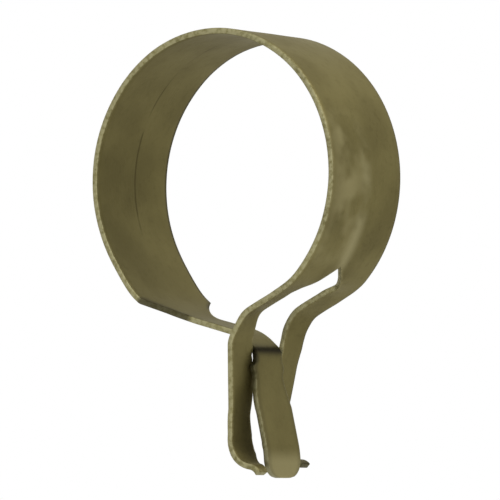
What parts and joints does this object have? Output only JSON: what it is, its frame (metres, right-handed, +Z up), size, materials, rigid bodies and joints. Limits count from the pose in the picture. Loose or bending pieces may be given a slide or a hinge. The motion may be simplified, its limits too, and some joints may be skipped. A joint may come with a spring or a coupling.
{
  "type": "curtain ring with clip",
  "caption": "Curtain ring with clip in antique brass: a wide sprung strip whose crossed ends hang below the ring as a tongue and a forked jaw.",
  "frame": {"origin": "centre of the ring's bore, on the rod's axis, halfway across the strip", "axes": "+Y along the curtain rod, +Z up from the clip to the top of the ring, +X to the side on which the forked end leaves the ring"},
  "size_m": [0.03, 0.012, 0.0453],
  "materials": {
    "antique_brass": "dull antique"
  },
  "bodies": {
    "root": {"clip_ring": "antique_brass"}
  },
  "joints": []
}
